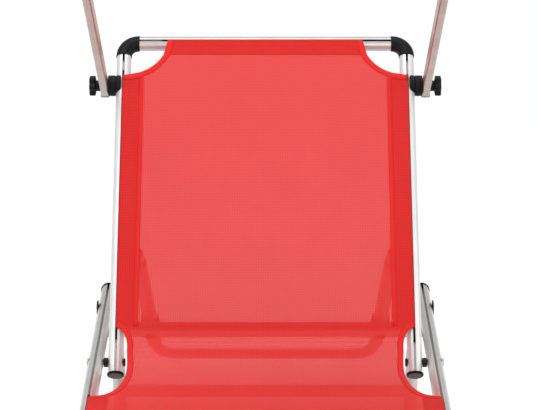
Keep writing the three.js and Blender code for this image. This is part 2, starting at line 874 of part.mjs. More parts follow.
// Assembly, about the recline axis

function groupAt(place, height, angle, ...children) {
  const group = new THREE.Group();
  group.position.set(0, place, height);
  group.rotation.x = angle;
  group.add(...children);
  return group;
}

const radians = Math.PI / 180;
const footTubePlace = tubeRadius - seatLength - footLength;

function seatFrame() {
  const bolts = [0, rearLegPlace, -middleLegPlace];
  return [
    ...pair("rail", "aluminium", (side) =>
      mirrored(slottedSide(railHalf, hingeGap - seatLength, railRear, bolts), side)),
    ...pair("rail_cap", "plastic", (side) => endCap(railHalf, railRear, 1, side)),
    piece("seat_cross_tube", crossTube(railHalf, -seatCrossBack, -seatCrossDrop), "aluminium"),
    piece("rear_cross_tube", crossTube(railHalf, rearCrossPlace, -rearCrossDrop), "aluminium"),
    ...pair("recline_bolt", "plastic", reclineBolt),
    ...pair("rear_leg_bolt", "plastic", (side) => legBolt(rearLegPlace, side)),
    ...pair("middle_leg_bolt", "plastic", (side) => legBolt(-middleLegPlace, side)),
    ...pair("foot_hinge_fixed", "plastic", hingeFixed),
    piece("seat_sling", seatSling(), "mesh"),
  ];
}

function backrest() {
  const tubeTop = backLength - cornerReach;
  return [
    ...pair("back_tube", "aluminium", (side) =>
      mirrored(slottedSide(backHalf, -backTail, tubeTop, [0]), side)),
    piece("back_top_tube", endTube(backHalf, backLength), "aluminium"),
    ...pair("back_elbow", "plastic", (side) => elbow(backHalf, backLength, side)),
    piece("back_cross_tube", crossTube(backHalf, backCrossPlace, 0), "aluminium"),
    ...pair("back_cap", "plastic", (side) => endCap(backHalf, -backTail, -1, side)),
    ...pair("prop_rack", "plastic", propRack),
    ...pair("canopy_clamp", "plastic", canopyClamp),
    piece("back_sling", backSling(), "mesh"),
  ];
}

function prop() {
  return [
    piece("prop_bow", propBow(), "aluminium"),
    ...pair("prop_sleeve", "aluminium", propSleeve),
    ...pair("prop_clip", "plastic", propClip),
  ];
}

function canopy() {
  return [
    ...pair("canopy_arm", "aluminium", canopyArm),
    piece("canopy_rod_inner", canopyRod(innerRodPlace), "aluminium"),
    piece("canopy_rod_outer", canopyRod(outerRodPlace), "aluminium"),
    piece("canopy_cloth", canopyCloth(), "mesh"),
    ...pair("knob", "plastic", knob),
  ];
}

function footSection() {
  const tubeStart = -seatLength - hingeGap;
  const tubeEnd = footTubePlace + cornerReach;
  return [
    ...pair("foot_tube", "aluminium", (side) =>
      mirrored(slottedSide(footHalf, tubeEnd, tubeStart, [-footLegPlace]), side)),
    piece("foot_end_tube", endTube(footHalf, footTubePlace), "aluminium"),
    ...pair("foot_elbow", "plastic", (side) => elbow(footHalf, footTubePlace, side)),
    ...pair("foot_hinge_moving", "plastic", hingeMoving),
    ...pair("foot_leg_bolt", "plastic", (side) => legBolt(-footLegPlace, side)),
    piece("foot_sling", footSling(), "mesh"),
  ];
}

const lounger = new THREE.Group();
lounger.add(...seatFrame());
lounger.add(
  groupAt(0, 0, backAngle * radians,
    ...backrest(),
    groupAt(canopyHeight, 0, canopyAngle * radians, ...canopy())),
  groupAt(rearCrossPlace, -rearCrossDrop, propAngle * radians, ...prop()),
  ...footSection(),
  legGroup("rear", rearLegPlace, -rakeAngle).add(piece("rear_leg_brace", legBrace(), "aluminium")),
  legGroup("middle", -middleLegPlace, -rakeAngle),
  legGroup("foot", -footLegPlace, -rakeAngle),
);

// The origin is on the floor, under the middle of the whole object.
lounger.updateMatrixWorld(true);
const extent = new THREE.Box3().setFromObject(lounger, true);
lounger.position.set(0, -(extent.min.y + extent.max.y) / 2, -extent.min.z);

export default lounger;
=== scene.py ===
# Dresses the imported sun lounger: woven slings with hems and stitching, canopy cloth, fittings, studio and camera.
import json
import math
import bpy
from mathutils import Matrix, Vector, noise


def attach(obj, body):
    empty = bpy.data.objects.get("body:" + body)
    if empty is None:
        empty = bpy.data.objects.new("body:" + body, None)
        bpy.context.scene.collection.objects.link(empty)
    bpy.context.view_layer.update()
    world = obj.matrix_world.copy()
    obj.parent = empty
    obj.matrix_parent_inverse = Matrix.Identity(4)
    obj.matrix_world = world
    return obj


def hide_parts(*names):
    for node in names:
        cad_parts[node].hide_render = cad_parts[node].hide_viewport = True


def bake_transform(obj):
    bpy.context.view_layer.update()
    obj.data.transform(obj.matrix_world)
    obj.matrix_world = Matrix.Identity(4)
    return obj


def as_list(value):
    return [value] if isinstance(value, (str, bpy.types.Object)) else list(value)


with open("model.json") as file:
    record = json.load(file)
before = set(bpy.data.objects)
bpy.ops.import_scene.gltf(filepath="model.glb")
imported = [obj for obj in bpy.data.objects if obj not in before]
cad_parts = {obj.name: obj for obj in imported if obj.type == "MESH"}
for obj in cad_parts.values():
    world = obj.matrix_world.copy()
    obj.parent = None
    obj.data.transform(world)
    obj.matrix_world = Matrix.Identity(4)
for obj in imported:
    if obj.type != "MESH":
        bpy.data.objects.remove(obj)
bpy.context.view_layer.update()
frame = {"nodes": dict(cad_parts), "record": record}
joints = {j["name"]: j for j in frame["record"]["behaviour"]["joints"]}
nodes = frame["nodes"]

MM = 0.001
SIDES = ((-1, "left"), (1, "right"))
RECLINE = Vector(joints["recline"]["pos_m"])
TILT = Vector(joints["canopy_tilt"]["pos_m"])
BACK = math.radians(47)
ARMS = math.radians(148)


# Places: each frame has x across, a length along the piece and a height off its plane

def turned(origin, angle, x, along, off):
    c, s = math.cos(angle), math.sin(angle)
    return Vector((x, origin.y + along * c - off * s, origin.z + along * s + off * c))


def seat(x, y, off):
    return turned(RECLINE, 0, x, y, off)


def back(x, u, off):
    return turned(RECLINE, BACK, x, u, off)


def arms(x, s, off):
    return turned(TILT, ARMS, x, s, off)


# Materials: all scales of noise and of mappings are per metre

class Shade:
    """Builds the node tree of a material or of the world."""

    def __init__(self, owner):
        owner.use_nodes = True
        self.owner = owner
        self.tree = owner.node_tree
        self.tree.nodes.clear()

    def put(self, kind, settings=None, **inputs):
        """Adds a node and gives its first output; Base_Color names a socket, and _3 is socket 3."""
        node = self.tree.nodes.new("ShaderNode" + kind)
        for key, value in (settings or {}).items():
            setattr(node, key, value)
        for key, value in inputs.items():
            socket = node.inputs[int(key[1:])] if key[0] == "_" else node.inputs[key.replace("_", " ")]
            if isinstance(value, bpy.types.NodeSocket):
                self.tree.links.new(value, socket)
            else:
                socket.default_value = value
        return node.outputs[0] if node.outputs else None

    def mix(self, share, a, b):
        node = self.put("Mix", {"data_type": "RGBA"}, _0=share, _6=a, _7=b).node
        return node.outputs[2]

    def math(self, operation, a, b=0.0):
        return self.put("Math", {"operation": operation}, _0=a, _1=b)

    def ranged(self, value, low, high, to_low, to_high):
        return self.put("MapRange", Value=value, From_Min=low, From_Max=high, To_Min=to_low, To_Max=to_high)

    def noise(self, where, scale, detail=2.0):
        return self.put("TexNoise", Vector=where, Scale=scale, Detail=detail)

    def place(self, source):
        return self.put("TexCoord").node.outputs[source]

    def seen(self):
        """1 for rays that come from the camera, also through a see-through surface."""
        path = self.put("LightPath").node.outputs
        return self.math("MAXIMUM", path["Is Camera Ray"], path["Is Transmission Ray"])

    def finish(self, surface):
        self.put("OutputWorld" if isinstance(self.owner, bpy.types.World) else "OutputMaterial", Surface=surface)
        return self.owner


def shade(name):
    return Shade(bpy.data.materials.new(name))


def colour(red, green, blue):
    def linear(v):
        v /= 255
        return v / 12.92 if v <= 0.04045 else ((v + 0.055) / 1.055) ** 2.4
    return (linear(red), linear(green), linear(blue), 1)


def metal(name, base, deep, rough, turn, stretch, metallic=0.8):
    """Drawn and anodised aluminium: fine lines along the tube, soft clouding and a few rubbed spots."""
    s = shade(name)
    where = s.place("Object")
    level = s.put("Mapping", Vector=where, Rotation=(-turn, 0, 0))
    lines = s.noise(s.put("Mapping", Vector=level, Scale=stretch), 1.0, 3.0)
    cloud = s.noise(where, 23.0, 4.0)
    rubbed = s.ranged(s.noise(where, 61.0, 5.0), 0.62, 0.74, 0, 1)
    tint = s.mix(s.ranged(cloud, 0.35, 0.7, 0, 1), base, deep)
    sheen = s.math("ADD", s.ranged(lines, 0.3, 0.7, rough - 0.02, rough + 0.03), s.math("MULTIPLY", rubbed, 0.07))
    bump = s.put("Bump", Strength=0.03, Distance=0.00002, Height=lines)
    return s.finish(s.put("BsdfPrincipled", Base_Color=tint, Metallic=metallic, Roughness=sheen, Normal=bump))


def plastic(name, base, pale, rough):
    """Moulded plastic: fine spark grain, faint flow clouds, and a little dust that lightens it."""
    s = shade(name)
    where = s.place("Object")
    grain = s.noise(where, 2400.0, 2.0)
    cloud = s.noise(where, 85.0, 4.0)
    dust = s.ranged(s.noise(where, 310.0, 6.0), 0.58, 0.78, 0, 0.5)
    tint = s.mix(s.math("MAXIMUM", s.ranged(cloud, 0.4, 0.75, 0, 0.7), dust), base, pale)
    gloss = s.ranged(cloud, 0.3, 0.7, rough - 0.07, rough + 0.09)
    bump = s.put("Bump", Strength=0.22, Distance=0.0002, Height=grain)
    return s.finish(s.put("BsdfPrincipled", Base_Color=tint, Roughness=gloss, Specular_IOR_Level=0.2, Normal=bump))


HOLE = 0.4  # how see-through the middle of a hole is


def weave(name, base, deep, pitch, open_low, open_high, through):
    """Open mesh laid out in metres by the UV map: crossing threads that rise and dip, and small holes between."""
    s = shade(name)
    where = s.place("UV")
    uv = s.put("SeparateXYZ", Vector=where).node.outputs
    across = s.math("SINE", s.math("MULTIPLY", uv[0], math.pi / pitch))
    along = s.math("SINE", s.math("MULTIPLY", uv[1], math.pi / pitch))
    a, b = s.math("ABSOLUTE", across), s.math("ABSOLUTE", along)
    hole = s.put("MapRange", {"interpolation_type": "SMOOTHSTEP"}, Value=s.math("MAXIMUM", a, b),
                 From_Min=open_low, From_Max=open_high, To_Min=HOLE, To_Max=0.0)
    # The weave is made closer on the seat, to stand for holes that close up where the seat is seen at a slant and for
    # the shade under the seat seen through them, and a little closer high on the backrest as painted shade: the shadow
    # that shows through the mesh there
    openness = s.math("MULTIPLY", s.ranged(uv[1], -0.24, -0.03, 0.25, 1.0), s.ranged(uv[1], 0.1, 0.45, 1.0, 0.78))
    cover = s.math("SUBTRACT", 1.0, s.math("MULTIPLY", hole, openness))
    over = s.ranged(s.math("MULTIPLY", across, along), -0.6, 0.6, 0, 1)
    height = s.math("ADD", s.math("MULTIPLY", a, over), s.math("MULTIPLY", b, s.math("SUBTRACT", 1.0, over)))
    slub = s.noise(s.put("Mapping", Vector=where, Scale=(40, 900, 1)), 1.0, 2.0)
    cloud = s.noise(where, 9.0, 5.0)
    # The deep tone is partly painted shade where the threads dip under each other, and partly random slubs and clouds
    # in the yarn
    share = s.math("ADD", s.ranged(height, 0.1, 1.0, 0.3, 0.0), s.ranged(s.math("ADD", slub, cloud), 0.7, 1.4, 0, 0.4))
    tint = s.mix(share, base, deep)
    bump = s.put("Bump", Strength=0.3, Distance=0.0003, Height=height)
    cloth = s.put("BsdfPrincipled", Base_Color=tint, Roughness=0.8, Sheen_Weight=0.04, Sheen_Roughness=0.5,
                  Specular_IOR_Level=0.15, Alpha=cover, Normal=bump)
    lit = s.put("BsdfTranslucent", Color=tint, Normal=bump)
    return s.finish(s.put("MixShader", _0=through, _1=cloth, _2=lit))


def thread(name, base, deep):
    """Twisted sewing thread."""
    s = shade(name)
    where = s.place("Object")
    twist = s.put("TexWave", Vector=where, Scale=900.0, Distortion=2.0)
    tint = s.mix(s.ranged(twist, 0, 1, 0, 0.8), base, deep)
    bump = s.put("Bump", Strength=0.3, Distance=0.0001, Height=twist)
    return s.finish(s.put("BsdfPrincipled", Base_Color=tint, Roughness=0.6, Normal=bump))


SILVER, SILVER_DEEP = colour(220, 219, 217), colour(210, 208, 206)
LENGTHWISE, CROSSWISE, EVEN = (900, 9, 900), (9, 900, 900), (300, 300, 300)
tube_y = metal("tube_lengthwise", SILVER, SILVER_DEEP, 0.3, 0, LENGTHWISE)
# Painted light: the backrest tubes are the rails' aluminium, made lighter and less metallic to stand for the bright
# light they catch from above
lit_tube_back = metal("lit_tube_backrest", colour(236, 235, 234), colour(229, 228, 227), 0.42, BACK, LENGTHWISE, 0.6)
tube_x = metal("tube_crosswise", colour(206, 202, 200), colour(198, 193, 191), 0.34, 0, CROSSWISE)
tube_plain = metal("tube_plain", colour(206, 202, 198), colour(190, 186, 181), 0.4, 0, EVEN)
arm_metal = metal("arm_bar", colour(189, 177, 169), colour(175, 163, 154), 0.38, ARMS, LENGTHWISE)
cap_grey = plastic("grey_cap", colour(176, 167, 156), colour(190, 181, 171), 0.5)
# Painted light: a lighter grey that stands for the light caught by the black end faces of the backrest's caps
lit_cap_face = plastic("lit_cap_face", colour(84, 76, 72), colour(96, 88, 83), 0.5)
black = plastic("black_moulding", colour(6, 6, 7), colour(16, 15, 16), 0.52)
black_soft = plastic("black_pad", colour(24, 24, 25), colour(58, 57, 57), 0.66)
black_bolt = plastic("black_bolt_coat", colour(18, 19, 21), colour(42, 42, 45), 0.38)
mesh_red = weave("sling_weave", colour(226, 50, 47), colour(209, 37, 35), 2.9 * MM, 0.45, 0.8, 0.14)
hem_red = weave("hem_weave", colour(226, 46, 43), colour(208, 34, 32), 2.7 * MM, 0.0, 0.2, 0.06)
# Painted light: the seat's hems are the same hem cloth, made brighter and letting more light through, to stand for the
# stronger light on the upward-facing seat
lit_seat_hem_red = weave("lit_seat_hem_weave", colour(237, 56, 52), colour(221, 43, 40), 2.7 * MM, 0.0, 0.2, 0.1)
tape_red = weave("tape_weave", colour(227, 43, 40), colour(219, 38, 36), 1.1 * MM, 0.0, 0.02, 0.04)
cloth_red = weave("canopy_weave", colour(226, 48, 45), colour(208, 36, 34), 1.2 * MM, 0.0, 0.1, 0.3)
sewing = thread("sewing_thread", colour(229, 46, 43), colour(208, 34, 32))


# Mesh makers

def make(name, points, faces, finish, body, slot, uvs=None):
    mesh = bpy.data.meshes.new(name)
    mesh.from_pydata([tuple(p) for p in points], [], faces)
    mesh.validate()
    if uvs:
        layer = mesh.uv_layers.new(name="UVMap")
        for loop in mesh.loops:
            layer.data[loop.index].uv = uvs[loop.vertex_index]
    mesh.materials.append(finish)
    mesh.shade_smooth()
    mesh.set_sharp_from_angle(angle=math.radians(38))
    piece = bpy.data.objects.new(name, mesh)
    bpy.context.scene.collection.objects.link(piece)
    if body:
        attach(piece, body)
    return piece


def spaced(start, end, count):
    return [start + (end - start) * i / count for i in range(count + 1)]


def across(half, count):
    """Even places from one side to the other."""
    return [half * (2 * c / count - 1) for c in range(count + 1)]


def arc(cx, cy, radius, start, end, count):
    return [(cx + radius * math.cos(a), cy + radius * math.sin(a)) for a in spaced(start, end, count)]


def grid_faces(rows, columns, closed=False):
    span = columns if closed else columns - 1
    return [
        (r * columns + c, r * columns + (c + 1) % columns, (r + 1) * columns + (c + 1) % columns, (r + 1) * columns + c)
        for r in range(rows - 1) for c in range(span)
    ]


def lofted(name, rings, finish, body, slot):
    """A closed skin through rings of equal count, with its two ends filled."""
    count = len(rings[0])
    points = [p for ring in rings for p in ring]
    faces = grid_faces(len(rings), count, closed=True)
    faces += [tuple(reversed(range(count))), tuple(range(len(points) - count, len(points)))]
    return make(name, points, faces, finish, body, slot)


def ring_at(centre, right, up, radius, sides):
    turns = [2 * math.pi * i / sides for i in range(sides)]
    return [centre + (right * math.cos(a) + up * math.sin(a)) * radius for a in turns]


def swept(name, stations, finish, body, slot, sides):
    """A round skin along stations of (centre, direction, radius)."""
    rings = []
    for centre, direction, radius in stations:
        along = direction.normalized()
        helper = Vector((1, 0, 0)) if abs(along.x) < 0.9 else Vector((0, 0, 1))
        right = along.cross(helper).normalized()
        rings.append(ring_at(centre, right, along.cross(right), radius, sides))
    return lofted(name, rings, finish, body, slot)


def keder(name, start, end, body):
    """A black rod inside a tube's channel, with rounded ends."""
    radius, rounding = 2.7 * MM, 0.3
    along = end - start
    step = along.normalized() * radius * rounding
    stations = [(start, along, radius * (1 - rounding)), (start + step, along, radius),
                (end - step, along, radius), (end, along, radius * (1 - rounding))]
    swept(name, stations, black, body, "black_plastic", 16)


def rivet(name, centre, direction, radius, height, body, finish=black_bolt, slot="black_metal"):
    """A low domed head with a flat rim, standing on a face."""
    along = direction.normalized()
    dome = ((-0.3, 1.0), (0.25, 1.0), (0.55, 0.9), (0.85, 0.62), (1.0, 0.25))
    stations = [(centre + along * height * rise, along, radius * share) for rise, share in dome]
    swept(name, stations, finish, body, slot, 18)


def thicken(piece, thickness):
    solid = piece.modifiers.new("thickness", "SOLIDIFY")
    solid.thickness = thickness
    solid.offset = 0


def soften(piece, width):
    bevel = piece.modifiers.new("edges", "BEVEL")
    bevel.width = width
    bevel.segments = 2
    bevel.limit_method = "ANGLE"
    bevel.angle_limit = math.radians(42)
    bevel.use_clamp_overlap = True


def for_side(side, rings):
    """Rings laid out for the right side, mirrored for the left one."""
    return rings if side > 0 else [[Vector((-p.x, p.y, p.z)) for p in reversed(ring)] for ring in rings]


# Slings: a sling is laid out as x and q, where q runs along the cloth from the foot to the head

PLANE = 13.8 * MM  # height of the cloth over the tubes' axes
BEND = 55 * MM  # half the length of cloth that bends over the hinge
CORNER = PLANE * math.tan(BACK / 2)  # from the recline axis to where the planes of seat and backrest meet
RAIL, SLOT_BACK = 277.5 * MM, 245 * MM  # x of the slots in the rails and in the backrest's tubes
FADE = 30 * MM  # width over which the ripples fade towards a held edge
FOOT_HINGE, HINGE_GAP = -0.645, 10 * MM
FOOT_START, FOOT_END = FOOT_HINGE - HINGE_GAP, -1.2375
START, END = seat(0, -BEND - CORNER, PLANE), back(0, BEND + CORNER, PLANE)


def crease(x, q):
    """Small uneven ripples of a cloth that is stretched but not ironed."""
    slow = noise.noise(Vector((x * 9, q * 7, 3.1)))
    quick = noise.noise(Vector((x * 26, q * 21, 8.4)))
    return 0.8 * MM * slow + 0.25 * MM * quick


def clamped(value):
    return min(max(value, 0), 1)


def dip(depth, at, start, length, x, half):
    """How far a held cloth sags: not at its ends and sides, and most in its middle."""
    return depth * math.sin(math.pi * clamped((at - start) / length)) ** 2 * (1 - (x / half) ** 2)


def main_place(x, q, off=0.0):
    """The main sling bends once, over the recline hinge."""
    sag = 0.0
    if q >= BEND:
        sag = dip(5 * MM, q + CORNER, 0.075, 0.525, x, SLOT_BACK)
    elif q <= -BEND:
        sag = dip(9 * MM, -q, BEND, 0.575, x, RAIL)
    share = clamped(q / (50 * MM))
    calm = min(1, (RAIL - abs(x)) / FADE) * (1 - share) + clamped((SLOT_BACK - abs(x)) / FADE) * share
    level = PLANE + off - sag + crease(x, q) * calm
    if q <= -BEND:
        return seat(x, q - CORNER, level)
    if q >= BEND:
        return back(x, q + CORNER, level)
    radius = BEND / math.tan(BACK / 2)
    angle = BACK * (q + BEND) / (2 * BEND)
    reach = radius - (level - PLANE)
    return Vector((x, RECLINE.y - CORNER - BEND + reach * math.sin(angle),
                   RECLINE.z + PLANE + radius - reach * math.cos(angle)))


def foot_place(x, y, off=0.0):
    sag = dip(8 * MM, -y, -FOOT_START, FOOT_START - FOOT_END, x, RAIL)
    calm = min(1, abs(RAIL - abs(x)) / FADE)
    return seat(x, y, PLANE + off - sag + crease(x, y) * calm)


def flipped(line, side):
    return [(x * side, q) for x, q in line]


def offset_line(line, distance):
    """The line moved to its left by a distance, in the layout."""
    out = []
    for i, point in enumerate(line):
        before, after = line[max(i - 1, 0)], line[min(i + 1, len(line) - 1)]
        dx, dy = after[0] - before[0], after[1] - before[1]
        size = math.hypot(dx, dy)
        out.append((point[0] - dy / size * distance, point[1] + dx / size * distance))
    return out


def level_line(half, q, count=24):
    return [(x, q) for x in across(half, count)]


def rows_of(line):
    """An edge as rows of (q, half width), without repeats."""
    rows = [(q, x) for x, q in line]
    return [row for row, last in zip(rows, [None] + rows) if row != last]


def area_of(rows):
    return sum(abs((a[1] + b[1]) * (b[0] - a[0])) for a, b in zip(rows, rows[1:]))


LIP = ((0, 0), (0.25, -0.25), (0.45, -1.0), (0.45, -3.4), (0.45, -6.2))  # mm out of the cloth, and off it
STITCH, STITCH_PITCH = 3.0 * MM, 4.2 * MM


class Cloth:
    """One cloth and the parts sewn to it, laid out flat and put in place by the same function."""

    def __init__(self, place, body, slot):
        self.place, self.body, self.slot = place, body, slot
        self.parts = []

    def add(self, piece):
        if self.body is None:
            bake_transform(piece)
        self.parts.append(piece)

    def sheet(self, name, rows, columns):
        """The layout in metres is also the UV map, and one layer keeps the weave's holes open."""
        flat = [(x, q) for q, half in rows for x in across(half, columns - 1)]
        points = [self.place(x, q) for x, q in flat]
        return make(name, points, grid_faces(len(rows), columns), mesh_red, self.body, self.slot, flat)

    def band(self, name, outer, inner, off, finish, side=1, columns=6, place=None):
        """A strip between two lines of the layout, such as a hem on the cloth's rear side."""
        outer, inner, place = flipped(outer, side), flipped(inner, side), place or self.place
        flat = [
            (a[0] + (b[0] - a[0]) * c / (columns - 1), a[1] + (b[1] - a[1]) * c / (columns - 1))
            for a, b in zip(outer, inner) for c in range(columns)
        ]
        points = [place(x, q, off) for x, q in flat]
        piece = make(name, points, grid_faces(len(outer), columns), finish, self.body, self.slot, flat)
        thicken(piece, 0.7 * MM)
        self.add(piece)

    def lip(self, name, line, side=1, ahead=0):
        """Where a held edge turns down through the tube's slot; its way out is sideways, or ahead along the cloth."""
        points, uvs = [], []
        for x, q in flipped(line, side):
            way = 0 if ahead else math.copysign(1, x)
            for out, down in LIP:
                points.append(self.place(x + way * out * MM, q + ahead * out * MM, down * MM))
                uvs.append((x - way * down * MM, q))
        piece = make(name, points, grid_faces(len(line), len(LIP)), hem_red, self.body, self.slot, uvs)
        thicken(piece, 0.9 * MM)
        self.add(piece)

    def stitches(self, name, lines, off, side=1, place=None):
        """Rows of lock stitches: each a short thread that dips into the cloth at both ends."""
        place = place or self.place
        points, faces = [], []
        for line in lines:
            spare = 0.0
            line = flipped(line, side)
            for a, b in zip(line, line[1:]):
                run = math.dist(a, b)
                at = spare
                while at + STITCH < run:
                    ends = [(a[0] + (b[0] - a[0]) * t / run, a[1] + (b[1] - a[1]) * t / run) for t in (at, at + STITCH)]
                    start, end = place(*ends[0], off), place(*ends[1], off)
                    up = (place(*ends[0], off + MM) - start).normalized()
                    first = len(points)
                    points += stitch_points(start, end, up)
                    for i in range(4):
                        j = (i + 1) % 4
                        faces += [(first, first + 2 + j, first + 2 + i), (first + 1, first + 6 + i, first + 6 + j),
                                  (first + 2 + i, first + 2 + j, first + 6 + j, first + 6 + i)]
                    at += STITCH_PITCH
                spare = max(0.0, at - run)
        self.add(make(name, points, faces, sewing, self.body, self.slot))


def stitch_points(start, end, up):
    """Both ends of a stitch, then two rings of four points between them."""
    along = (end - start).normalized()
    right = along.cross(up) * 0.38 * MM
    top, bottom = up * 0.4 * MM, up * 0.3 * MM
    points = [start - bottom, end - bottom]
    for t in (-0.3, 0.3):
        centre = (start + end) / 2 + along * STITCH * t
        points += [centre + right, centre + top, centre - right, centre - bottom]
    return points


# The right edge of the main sling from the foot hinge to the head, in (x, q)
FOOT_CUT = 34 * MM
FOOT_TURN = math.asin(HINGE_GAP / FOOT_CUT)
SEAT_END, SEAT_CUT = FOOT_HINGE + HINGE_GAP + CORNER, -0.188 + CORNER
SEAT_LOW, SEAT_HIGH = FOOT_HINGE + FOOT_CUT + CORNER, SEAT_CUT - 6 * MM
NARROW, NARROW_AT = 223.5 * MM, -0.08 + CORNER
FLARE, FLARE_FROM, BACK_LOW = 19 * MM, 0.014 - CORNER, 0.056 - CORNER
TOP, CUT_WIDE, CUT_TALL = 0.6 - CORNER, 76 * MM, 69 * MM


def oval_corner(grow=0.0):
    """The concave top corner, from the side tube to the top tube."""
    return [(SLOT_BACK - (CUT_WIDE + grow) * math.sin(a), TOP - (CUT_TALL + grow) * math.cos(a))
            for a in spaced(0, math.pi / 2, 20)]


def top_limit(x):
    """How far up the cloth reaches below the concave corner."""
    return TOP - CUT_TALL * math.sqrt(max(1 - ((SLOT_BACK - x) / CUT_WIDE) ** 2, 0))


foot_corner = arc(RAIL, FOOT_HINGE + CORNER, FOOT_CUT, math.pi - FOOT_TURN, math.pi / 2, 9)
rail_edge = [(RAIL, q) for q in spaced(SEAT_LOW, SEAT_HIGH, 26)]
shoulder = [(RAIL - 1.4 * MM, SEAT_CUT - 4.2 * MM), (RAIL - 5 * MM, SEAT_CUT - 2.4 * MM),
            (RAIL - 9 * MM, SEAT_CUT - 1.1 * MM)]
seat_flare = [(NARROW + 42 * MM * (1 - math.sqrt(1 - t * t)), NARROW_AT - t * (NARROW_AT - SEAT_CUT))
              for t in (1, 0.996, 0.985, 0.965, 0.935, 0.9, 0.85, 0.8, 0.72, 0.64, 0.55, 0.45, 0.35, 0.25, 0.15, 0.07)]
seat_flare += [(NARROW + 2.5 * MM * t * t, NARROW_AT + t * 0.072) for t in spaced(0, 1, 10)]
back_flare = [(SLOT_BACK - FLARE * math.sqrt(1 - t * t), FLARE_FROM + t * (BACK_LOW - FLARE_FROM))
              for t in (0, 0.2, 0.4, 0.55, 0.7, 0.8, 0.88, 0.94, 0.98, 1)]
back_edge = [(SLOT_BACK, q) for q in spaced(BACK_LOW, TOP - CUT_TALL, 34)]
top_corner = oval_corner()
hinge_cut = shoulder + seat_flare + back_flare

main = Cloth(main_place, None, "sling_mesh")
main_rows = rows_of(foot_corner + rail_edge + hinge_cut + back_edge + top_corner)
main_sling = main.sheet("main_sling", main_rows, 49)
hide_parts("back_sling", "seat_sling")

HEM, END_HEM, WIDE_HEM, TAPE = 31 * MM, 24 * MM, 30 * MM, 10 * MM
UNDER, UNDER_FOLD, OVER = -1.0 * MM, -1.8 * MM, 0.4 * MM  # heights of hems and tapes off the cloth
ON_TAPE, ON_CLOTH, ON_CANOPY = 0.95 * MM, 0.55 * MM, 0.5 * MM  # heights of stitches
BACK_HEM, RAIL_HEM, HEM_LOW = SLOT_BACK - HEM, RAIL - HEM, 0.058 - CORNER
side_hem = [[(x, q) for q in spaced(HEM_LOW, top_limit(x), 44)] for x in (SLOT_BACK, BACK_HEM)]
fold_tape = [[(x, q) for q in spaced(HEM_LOW, top_limit(BACK_HEM) - 2 * MM, 40)]
             for x in (BACK_HEM + 3 * MM, BACK_HEM - 5 * MM)]
seat_hem = [[(RAIL, q) for q in spaced(SEAT_LOW, SEAT_HIGH, 30)],
            [(RAIL_HEM, q) for q in spaced(SEAT_END + MM, SEAT_CUT - 2 * MM, 30)]]
main_seams = [[(BACK_HEM + 2 * MM, q) for q in spaced(HEM_LOW + 2 * MM, top_limit(BACK_HEM) - 4 * MM, 2)],
              oval_corner(8 * MM)[1:-1], offset_line(hinge_cut, 8 * MM)[1:],
              [(RAIL_HEM + 2 * MM, q) for q in spaced(SEAT_END + 9 * MM, SEAT_CUT - 5 * MM, 2)]]
for side, word in SIDES:
    main.band(f"side_hem_{word}", *side_hem, UNDER, hem_red, side)
    main.band(f"corner_hem_{word}", top_corner, oval_corner(TAPE), OVER, tape_red, side, 4)
    main.band(f"hinge_hem_{word}", hinge_cut, offset_line(hinge_cut, TAPE), OVER, tape_red, side, 4)
    main.band(f"fold_tape_{word}", *fold_tape, 0.3 * MM, tape_red, side, 3)
    main.band(f"seat_hem_{word}", *seat_hem, UNDER, lit_seat_hem_red, side)
    main.band(f"seat_corner_hem_{word}", foot_corner, offset_line(foot_corner, 9 * MM), UNDER_FOLD, hem_red, side, 4)
    main.stitches(f"seams_{word}", main_seams, ON_TAPE, side)
    main.lip(f"back_edge_{word}", back_edge, side)
    main.lip(f"seat_edge_{word}", rail_edge, side)

top_half, top_hem_half = SLOT_BACK - CUT_WIDE, SLOT_BACK - CUT_WIDE * math.sqrt(1 - (WIDE_HEM / CUT_TALL) ** 2)
seat_half = foot_corner[0][0]
main.band("top_hem", level_line(top_half, TOP), level_line(top_hem_half, TOP - WIDE_HEM), UNDER, hem_red)
main.band("seat_end_hem", level_line(seat_half, SEAT_END), level_line(seat_half - 4 * MM, SEAT_END + END_HEM), UNDER,
          hem_red)
main.stitches("end_seams", [level_line(top_hem_half - 9 * MM, TOP - WIDE_HEM + 2 * MM, 1),
                            level_line(seat_half - 8 * MM, SEAT_END + END_HEM - 2 * MM, 1),
                            level_line(seat_half - 8 * MM, SEAT_END + 3 * MM, 1)], ON_CLOTH)
main.lip("back_top_edge", level_line(top_half, TOP), ahead=1)
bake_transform(main_sling)
area_of(main_rows)
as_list(main.parts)

# Foot sling
END_CUT = 74 * MM
foot_start_corner = arc(RAIL, FOOT_HINGE, FOOT_CUT, math.pi + FOOT_TURN, 1.5 * math.pi, 9)
foot_edge = [(RAIL, q) for q in spaced(FOOT_HINGE - FOOT_CUT, FOOT_END + END_CUT, 28)]
foot_end_corner = arc(RAIL, FOOT_END, END_CUT, math.pi / 2, math.pi, 16)
foot = Cloth(foot_place, "foot_section", "sling_mesh")
foot_rows = rows_of(foot_start_corner + foot_edge + foot_end_corner)
foot_sling = foot.sheet("foot_sling_cloth", foot_rows, 41)
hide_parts("foot_sling")
hem_end = FOOT_END + math.sqrt(END_CUT ** 2 - HEM ** 2)
foot_hem = [[(RAIL, q) for q in spaced(FOOT_HINGE - FOOT_CUT, FOOT_END + END_CUT, 30)],
            [(RAIL_HEM, q) for q in spaced(FOOT_START - MM, hem_end, 30)]]
foot_tape = arc(RAIL, FOOT_END, END_CUT + TAPE, math.pi / 2, math.pi, 16)
foot_seams = [[(RAIL_HEM + 2 * MM, FOOT_START - 13 * MM), (RAIL_HEM + 2 * MM, hem_end + 3 * MM)],
              offset_line(foot_end_corner, -8 * MM)[1:-1]]
